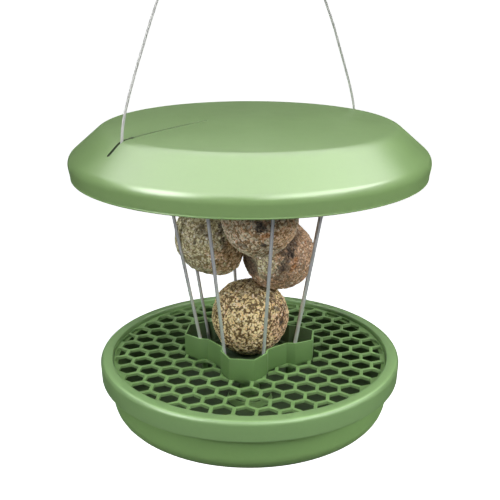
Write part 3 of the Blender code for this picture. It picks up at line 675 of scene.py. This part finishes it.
def make_rods():
    """Drawn rods with slightly domed ends, and a cap nut on each head."""
    cap = [
        (0, 0.0036, 0),
        (0.0017, 0.0035, 0.0010),
        (0.0025, 0.0022, 0.0006),
        (0.0029, 0.0012, 0.0003),
        (0.0029, 0.0001, 0.0002),
        (0.0017, 0.0001, 0),
        (0.0017, 0.0020, 0),
        (0, 0.0020, 0),
    ]
    for index in range(ROD_COUNT):
        foot, head = rod_line(index)
        length = (head - foot).length
        turn = (head - foot).to_track_quat("Z", "Y").to_matrix().to_4x4()
        bar = [(0, length, 0), (ROD_RADIUS, length, 0.0004), (ROD_RADIUS, 0, 0.0004), (0, 0, 0)]
        rod = turned(f"rod_{index + 1}", rounded(bar, 3, closed=False), 28, closed=False)
        rod.data.transform(Matrix.Translation(foot) @ turn)
        keep(smooth(rod, 50), "feeder_body", "rod_steel", ROD_STEEL, f"cage_rod_{index + 1}")

        low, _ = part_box(f"rod_nut_{index + 1}")
        along = (head - foot).normalized()
        seat = foot + along * ((low.z + 0.0011 - foot.z) / along.z)
        nut = turned(f"cap_nut_{index + 1}", rounded(cap, 3, closed=False), 24, closed=False)
        nut.data.transform(Matrix.Translation(seat) @ turn)
        keep(smooth(nut, 45), "feeder_body", "rod_steel", BOLT_STEEL, f"rod_nut_{index + 1}")


# ---- rope ----

# (reach towards the left leg, height over the crease), from the left leg's end over the crown
LEG_HEIGHTS = [height - CREASE_HEIGHT for height in (ROPE_END_HEIGHT, FERRULE_TOP, RING_TOP)]
ROUTE = [
    *((ROPE_LEG_RADIUS, height) for height in LEG_HEIGHTS),
    (0.1071, -0.0085), (0.1063, -0.0010), (0.1043, 0.0125), (0.0996, 0.0280), (0.0931, 0.0455),
    (0.0870, 0.0605), (0.0812, 0.0745), (0.0753, 0.0876), (0.0676, 0.1030), (0.0572, 0.1195),
    (0.0437, 0.1352), (0.0268, 0.1478), (0.0050, 0.1540), (-0.0175, 0.1490), (-0.0355, 0.1373),
    (-0.0500, 0.1215), (-0.0610, 0.1046), (-0.0705, 0.0860), (-0.0812, 0.0650), (-0.0885, 0.0480),
    (-0.0957, 0.0312), (-0.1019, 0.0154), (-0.1060, 0.0010), (-0.1071, -0.0085),
    *((-ROPE_LEG_RADIUS, height) for height in reversed(LEG_HEIGHTS)),
]


def rows_normalized(rows):
    return rows / np.linalg.norm(rows, axis=1)[:, None]


def travelled(points):
    """Distance along a line of points up to each of them."""
    return np.concatenate([[0], np.cumsum(np.linalg.norm(np.diff(points, axis=0), axis=1))])


def even_route(count):
    """Evenly spaced points along a smooth curve through the route's points, and its length."""
    points = np.array(ROUTE)
    chord = travelled(points)
    slopes = np.gradient(points, chord, axis=0)
    fine = []
    for index in range(len(points) - 1):
        span = chord[index + 1] - chord[index]
        for share in np.linspace(0, 1, 24, endpoint=False):
            square, cube = share**2, share**3
            fine.append(
                (2 * cube - 3 * square + 1) * points[index]
                + (cube - 2 * square + share) * span * slopes[index]
                + (3 * square - 2 * cube) * points[index + 1]
                + (cube - square) * span * slopes[index + 1]
            )
    fine = np.array([*fine, points[-1]])
    travel = travelled(fine)
    even = np.linspace(0, travel[-1], count)
    return np.stack([np.interp(even, travel, fine[:, axis]) for axis in (0, 1)], 1), travel[-1]


def on_rope(reach, rise):
    return ROPE_ALONG * reach + Vector((0, 0, CREASE_HEIGHT + rise))


def make_rope():
    """Six strands laid round the rope's line, and a core strand."""
    count, sides, strands = 560, 8, 6
    lay = 0.0125
    strand_radius = 0.00034
    core_radius = strand_radius * 1.15
    line, length = even_route(count)
    slope = rows_normalized(np.gradient(line, axis=0))
    points, faces = [], []
    for strand in range(strands + 1):
        core = strand == strands
        offset = 0.0 if core else ROPE_RADIUS - strand_radius
        radius = core_radius if core else strand_radius
        begin = len(points)
        for index, (place_on_line, (run, climb)) in enumerate(zip(line, slope)):
            normal = ROPE_ALONG * -climb + Vector((0, 0, run))
            turn = math.tau * (length * index / (count - 1) / lay + strand / strands)
            outwards = normal * math.cos(turn) + ROPE_SIDEWAYS * math.sin(turn)
            middle = on_rope(*place_on_line) + outwards * offset
            for side in range(sides):
                angle = turn + math.tau * side / sides
                outwards = normal * math.cos(angle) + ROPE_SIDEWAYS * math.sin(angle)
                points.append(middle + outwards * radius)
        for index in range(count - 1):
            first = begin + index * sides
            second = first + sides
            for side in range(sides):
                after = (side + 1) % sides
                faces.append([first + side, first + after, second + after, second + side])
        last = begin + (count - 1) * sides
        faces.append([begin + side for side in range(sides)][::-1])
        faces.append([last + side for side in range(sides)])
    rope = smooth(from_arrays("wire_rope", points, faces), 60)
    keep(rope, "feeder_body", "rope_steel", ROPE_STEEL, "hanging_rope")


def make_ferrules():
    """Sleeves with crimp waists, closed below."""
    full, waist, bore, bore_floor = 0.0023, 0.0018, 0.0013, 0.1949
    tall = FERRULE_TOP - FERRULE_FOOT
    crimps = ((full, 0.18), (waist, 0.32), (full, 0.50), (waist, 0.64), (full, 0.8))
    profile = [
        (0, FERRULE_FOOT, 0),
        (0.0021, FERRULE_FOOT, 0.0005),
        *((radius, FERRULE_FOOT + share * tall, 0.0004) for radius, share in crimps),
        (full, FERRULE_TOP, 0.0003),
        (bore, FERRULE_TOP, 0),
        (bore, bore_floor, 0),
        (0, bore_floor, 0),
    ]
    outline = rounded(profile, 3, closed=False)[::-1]
    for name, angle in (("left", ROPE_LINE), ("right", ROPE_LINE + math.pi)):
        sleeve = turned(f"crimp_sleeve_{name}", outline, 32, closed=False)
        sleeve.data.transform(Matrix.Translation(polar(ROPE_LEG_RADIUS, angle)))
        keep(smooth(sleeve, 50), "feeder_body", "rope_steel", BOLT_STEEL, f"rope_ferrule_{name}")


# ---- suet balls ----

# Centre, radius, seed of the random draws, and the two palettes
BALLS = {
    "suet_ball_bottom": ((0.0001, 0.0055, 0.0722), 0.0302, 11, TAN, PINK),
    "suet_ball_left": ((-0.0299, 0.0034, 0.1393), 0.0274, 22, OLIVE, PINK),
    "suet_ball_front": ((0.0073, -0.0288, 0.1622), 0.0277, 33, GREY, PINK),
    "suet_ball_right": ((0.0221, 0.0055, 0.1236), 0.0275, 44, RED, OLIVE),
}

# Patches on each ball: direction from its centre, half width in radians, and strength
# Dark seeds and painted shade: painted shade is in the wide patches on the bottom ball's top and
# bottom and on the front ball's top, and in the row on the right ball along the front ball
DARK_SEED_AND_SHADE = {
    "suet_ball_bottom": (
        ((0.66, -0.61, 0.44), 0.08, 0.8), ((0.72, -0.57, 0.41), 0.06, 0.7),
        ((0.78, -0.62, 0.05), 0.07, 0.8), ((0.83, -0.55, 0.08), 0.05, 0.7),
        ((0.90, -0.30, 0.38), 0.10, 0.6), ((0.00, -0.42, -0.91), 0.50, 0.55),
        ((0.06, -0.10, 1.00), 0.60, 0.5),
    ),
    "suet_ball_left": (
        ((-0.15, -0.90, 0.40), 0.18, 0.6), ((0.33, -0.80, 0.51), 0.13, 0.8),
        ((0.33, -0.88, 0.34), 0.13, 0.8), ((0.35, -0.92, 0.15), 0.12, 0.8),
        ((0.40, -0.91, -0.02), 0.10, 0.5), ((0.51, -0.83, -0.21), 0.08, 0.3),
        ((-0.37, -0.93, 0.06), 0.05, 0.8), ((-0.22, -0.96, 0.12), 0.04, 0.7),
        ((0.10, -0.99, -0.10), 0.05, 0.6),
    ),
    "suet_ball_front": (
        ((0.02, -1.00, 0.00), 0.13, 0.95), ((0.11, -0.99, 0.02), 0.09, 0.9),
        ((0.08, -0.88, -0.47), 0.08, 0.9), ((-0.51, -0.70, -0.50), 0.08, 0.6),
        ((-0.40, -0.75, -0.53), 0.07, 0.6), ((0.00, -0.75, 0.66), 0.55, 0.45),
    ),
    "suet_ball_right": (
        ((0.54, -0.41, 0.74), 0.10, 0.5), ((0.45, -0.61, 0.66), 0.11, 0.6),
        ((0.34, -0.76, 0.56), 0.13, 0.8), ((0.29, -0.90, 0.33), 0.15, 0.95),
        ((0.20, -0.87, 0.46), 0.12, 0.8), ((0.06, -0.93, 0.37), 0.12, 0.7),
        ((0.22, -0.96, 0.16), 0.10, 0.8), ((0.10, -0.99, -0.07), 0.13, 0.9),
        ((0.02, -0.95, -0.32), 0.22, 0.5),
    ),
}
HUE = {
    "suet_ball_bottom": (((0.92, -0.38, -0.05), 0.62, 1.0),),
    "suet_ball_left": (((0.63, -0.65, -0.41), 0.60, 1.0),),
    "suet_ball_front": (((0.71, -0.65, -0.29), 0.45, 1.0),),
    "suet_ball_right": (((-0.45, -0.90, 0.00), 0.42, 1.0),),
}
HUSK = {
    "suet_ball_bottom": (((-0.60, -0.62, 0.50), 0.06, 0.8), ((-0.25, -0.97, 0.03), 0.05, 0.5)),
    "suet_ball_left": (((0.55, -0.78, -0.30), 0.06, 0.6),),
    "suet_ball_front": (
        ((0.08, -0.98, -0.19), 0.09, 0.9), ((0.16, -0.97, -0.18), 0.07, 0.9),
        ((-0.15, -0.72, -0.68), 0.10, 0.4),
    ),
    "suet_ball_right": (
        ((0.45, -0.88, 0.15), 0.07, 0.8), ((0.40, -0.90, -0.05), 0.07, 0.8),
        ((0.33, -0.93, -0.15), 0.05, 0.7),
    ),
}

# Number of seeds on a ball, and the ranges of their half lengths and half widths
LARGE_SEEDS = (2400, (0.0008, 0.0015), (0.0005, 0.0009))
SMALL_SEEDS = (3600, (0.0005, 0.0008), (0.0003, 0.0005))
# The height from which a large seed hides the small ones, and how high those stand beside it
LARGE_COVERS, SMALL_LIFT = 0.12, 0.45
# Metres of relief from no seed to a full one, and the height that lies on the ball's radius
SEED_RELIEF, SEED_LEVEL = 0.0007, 0.6
# Pits lie where random lumps pass a start, and deepen by so many metres for each 1 above it
PIT_START, PIT_LIMIT, PIT_DEPTH = 1.45, 0.8, 0.0016
# Seeds are looked up for so many points at once, which bounds the memory
POINTS_AT_A_TIME = 4096
ROD_CLEARANCE = 0.0003
BALL_CLEARANCE = 0.00015
PRESS_STEP = 0.00012
PRESS_STEPS = 30


def fine_sphere(name):
    """A mesh of a fine sphere, and the direction of each of its points."""
    work = bmesh.new()
    bmesh.ops.create_icosphere(work, subdivisions=7, radius=1.0)
    mesh = bpy.data.meshes.new(name)
    work.to_mesh(mesh)
    work.free()
    points = np.zeros(len(mesh.vertices) * 3)
    mesh.vertices.foreach_get("co", points)
    return mesh, rows_normalized(points.reshape(-1, 3))


def angle_from(unit, direction):
    return np.arccos(np.clip(unit @ direction, -1, 1))


def lumps(unit, rng, waves, frequency):
    """Smooth random relief from a sum of plane waves."""
    total = np.zeros(len(unit))
    for _ in range(waves):
        direction = rng.normal(size=3) * frequency
        total += np.sin(unit @ direction + rng.uniform(0, math.tau))
    return total / math.sqrt(waves)


def seeds_on(unit, rng, radius, count, long_range, wide_range):
    """Height from 0 to 1 of the seed over each point, and that seed's random tone."""
    centres = rows_normalized(rng.normal(size=(count, 3)))
    along = rows_normalized(np.cross(centres, rng.normal(size=(count, 3))))
    across = np.cross(centres, along)
    along /= rng.uniform(*long_range, size=(count, 1)) / radius
    across /= rng.uniform(*wide_range, size=(count, 1)) / radius
    tones = rng.uniform(0, 1, count)
    lift = rng.uniform(0.55, 1.0, count)
    height, tone = np.zeros(len(unit)), np.zeros(len(unit))
    for begin in range(0, len(unit), POINTS_AT_A_TIME):
        part = unit[begin:begin + POINTS_AT_A_TIME]
        endways = part @ along.T - np.sum(centres * along, 1)
        sideways = part @ across.T - np.sum(centres * across, 1)
        far = endways**2 + sideways**2
        beyond = part @ centres.T < 0.5
        far[beyond] = np.inf
        bump = lift * np.sqrt(np.clip(1 - far, 0, None))
        best = np.argmax(bump, 1)
        height[begin:begin + POINTS_AT_A_TIME] = bump[np.arange(len(part)), best]
        tone[begin:begin + POINTS_AT_A_TIME] = tones[best]
    return height, tone


def patched(unit, patches, ragged):
    """Strength from 0 to 1 of ragged patches on a ball."""
    value = np.zeros(len(unit))
    for direction, size, strength in patches:
        angle = angle_from(unit, np.array(direction) / np.linalg.norm(direction))
        inside = np.clip((size - angle) / (0.4 * size) + 0.5 + 0.8 * ragged, 0, 1)
        value = np.maximum(value, strength * inside * (angle < 2 * size))
    return value


def press_in(points, node):
    """Moves points of a ball in where a rod, a neighbour or the cup's floor lies against it."""
    place_of, radius, *_ = BALLS[node]
    centre = np.array(place_of)
    for index in range(ROD_COUNT):
        foot, head = rod_line(index)
        line = np.array((head - foot).normalized())
        inwards = rows_normalized(np.array(Vector(place_of)) - points)
        for _ in range(PRESS_STEPS):
            away = points - np.array(foot)
            away -= np.outer(away @ line, line)
            near = np.linalg.norm(away, axis=1) < ROD_RADIUS + ROD_CLEARANCE
            if not near.any():
                break
            points[near] += inwards[near] * PRESS_STEP
    for other, (other_centre, other_radius, *_) in BALLS.items():
        if other == node:
            continue
        between = np.array(other_centre) - centre
        apart = np.linalg.norm(between)
        between /= apart
        share = (apart**2 + radius**2 - other_radius**2) / (2 * apart) - BALL_CLEARANCE
        over = (points - centre) @ between - share
        points -= np.outer(np.clip(over, 0, None), between)
    points[:, 2] = np.maximum(points[:, 2], CUP_FLOOR)


def make_ball(node):
    """A ball of pressed seeds, with lumps and pits of its own, and its painted layers."""
    centre, radius, seed, *palettes = BALLS[node]
    rng = np.random.default_rng(seed)
    mesh, unit = fine_sphere(node)

    large, large_tone = seeds_on(unit, rng, radius, *LARGE_SEEDS)
    small, small_tone = seeds_on(unit, rng, radius, *SMALL_SEEDS)
    height = np.where(large > LARGE_COVERS, large, small * SMALL_LIFT)
    tone = np.where(large > LARGE_COVERS, large_tone, small_tone)
    ragged = lumps(unit, rng, 16, 20.0) + 0.7 * lumps(unit, rng, 20, 70.0)
    dark_seed_and_shade, hue, husk = [patched(unit, patches[node], ragged) for patches in (DARK_SEED_AND_SHADE, HUE, HUSK)]
    shell = radius + SEED_RELIEF * (height - SEED_LEVEL)
    shell += 0.00030 * lumps(unit, rng, 9, 4.0) + 0.0002 * lumps(unit, rng, 12, 16.0)
    pits = np.clip(lumps(unit, rng, 14, 14.0) - PIT_START, 0, PIT_LIMIT)
    shell -= PIT_DEPTH * pits
    height = np.clip(height - 0.9 * pits, 0, 1)

    if node == "suet_ball_bottom":
        # A seam, with the side beyond it a little higher, and painted shade in its groove
        seam = unit @ np.array((0.835, -0.469, -0.290)) + 0.304
        groove = np.exp(-((seam + 0.012) / 0.026) ** 2) * np.clip(0.5 - unit[:, 1] * 3, 0, 1)
        shell += 0.0005 * np.clip(seam / 0.035, -1, 1) - 0.0014 * groove
        height = np.clip(height - 0.5 * groove, 0, 1)
        dark_seed_and_shade = np.maximum(dark_seed_and_shade, 0.50 * groove)
        husk = np.maximum(husk, 0.80 * groove)
    if node == "suet_ball_left":
        # A bulge low on the right
        bulge = angle_from(unit, np.array((0.573, -0.270, -0.774)))
        shell += 0.0040 * np.exp(-((bulge / 0.60) ** 2)) + 0.0010 * np.clip(-unit[:, 2], 0, 1)
    points = unit * shell[:, None]
    if node == "suet_ball_right":
        # A flat face towards the left ball, darkened with painted shade
        flat = np.array((-0.811, -0.547, -0.207))
        over = points @ flat - 0.925 * radius
        points -= np.outer(np.clip(over, 0, None), flat) * 0.85
        dark_seed_and_shade = np.maximum(dark_seed_and_shade, 0.8 * np.clip(over / 0.0004, 0, 1))
    points += np.array(centre)
    press_in(points, node)

    mesh.vertices.foreach_set("co", points.ravel())
    layers = {"grain": tone, "rise": height, "dark_seed_and_shade": dark_seed_and_shade, "hue": hue, "husk": husk}
    for layer, values in layers.items():
        data = mesh.attributes.new(layer, "FLOAT", "POINT").data
        data.foreach_set("value", values.astype(np.float32))
    mesh.shade_smooth()
    mesh.update()
    ball = placed(node.replace("suet_ball", "seed_ball"), mesh)
    finish = suet(node.replace("suet_ball", "suet"), *palettes)
    keep(ball, "feeder_body", "suet", finish, node)


# ---- stage ----

FLOOR_HEIGHT = -0.35
LIT_HEIGHT = 0.17

# Name, azimuth and elevation in degrees, distance, width, height, power, and roll in degrees
LAMPS = (
    ("left_lamp", -50, 17, 1.0, 0.70, 0.15, 4.4, 0),
    ("right_lamp", 62, 21, 1.0, 1.20, 0.15, 7.7, 0),
    ("front_lamp", 2, 50, 0.65, 1.1, 0.3, 2.15, 0),
    ("back_lamp", 180, 8, 1.2, 1.2, 0.5, 1.6, 0),
)
CARDS = (
    ("left_card", -54, 29, 1.0, 0.62, 0.56, 8.1, 0),
    ("right_card", 48, 38, 1.0, 1.70, 0.46, 10.2, 8),
    ("top_card", 0, 88, 0.95, 3.3, 2.3, 62.0, 0),
)


def make_backdrop():
    """A floor and a white dome round it, both seen by the camera only."""
    reach, dome = 14.0, 12.0
    square = ((-reach, -reach), (reach, -reach), (reach, reach), (-reach, reach))
    corners = [(x, y, FLOOR_HEIGHT) for x, y in square]
    floor = from_arrays("floor", corners, [[0, 1, 2, 3]])
    bend = [math.pi / 2 * step / 16 for step in range(17)]
    profile = [(dome * math.cos(turn), FLOOR_HEIGHT + dome * math.sin(turn)) for turn in bend]
    wall = turned("wall", profile, 64, closed=False)
    made, shader = start("floor_white")
    shader.inputs["Base Color"].default_value = (0.9, 0.9, 0.9, 1.0)
    shader.inputs["Roughness"].default_value = 0.9
    shader.inputs["Emission Color"].default_value = (*WHITE, 1.0)
    shader.inputs["Emission Strength"].default_value = 1.0
    for piece in (floor, wall):
        piece.data.materials.append(made)
        piece.visible_diffuse = piece.visible_glossy = False
        piece.visible_transmission = piece.visible_shadow = False


def make_world():
    """A faint light from all round, weaker from behind the feeder."""
    world = bpy.data.worlds.new("studio")
    world.use_nodes = True
    sky = world.node_tree.nodes["Background"]
    sky.inputs["Color"].default_value = (0.95, 0.97, 1.0, 1.0)
    towards = add(world, "TexCoord").outputs["Generated"]
    backwards = add(world, "SeparateXYZ", {"Vector": towards}).outputs["Y"]
    strength = spread(world, backwards, 0.15, 0.03, start_at=-0.4, end_at=0.5)
    link(world, strength, sky.inputs["Strength"])
    bpy.context.scene.world = world
    bpy.context.scene.view_settings.view_transform = "Standard"


def softbox(name, azimuth, elevation, distance, width, height, power, roll, mirrored):
    """A lamp that only lights, or, mirrored, a card that is only seen as a reflection."""
    data = bpy.data.lights.new(name, "AREA")
    data.shape = "ELLIPSE" if mirrored else "RECTANGLE"
    data.size, data.size_y = width, height
    data.energy = power
    lamp = placed(name, data)
    turn, tilt = math.radians(azimuth), math.radians(elevation)
    level = math.cos(tilt)
    away = Vector((math.sin(turn) * level, -math.cos(turn) * level, math.sin(tilt)))
    rolled = Quaternion((0, 0, 1), math.radians(roll))
    lamp.location = Vector((0, 0, LIT_HEIGHT)) + away * distance
    lamp.rotation_euler = (away.to_track_quat("Z", "Y") @ rolled).to_euler()
    lamp.visible_glossy = mirrored
    lamp.visible_diffuse = not mirrored


make_roof()
make_bowl()
make_rim()
make_honeycomb()
make_collar()
make_plain("thumb_screw", "screw_knob", 0.00030)
make_plain("cage_top_ring", "head_ring", 0.00050)
make_rods()
make_rope()
make_ferrules()
for ball_node in BALLS:
    make_ball(ball_node)
make_backdrop()
make_world()
for lamp in LAMPS:
    softbox(*lamp, mirrored=False)
for card in CARDS:
    softbox(*card, mirrored=True)
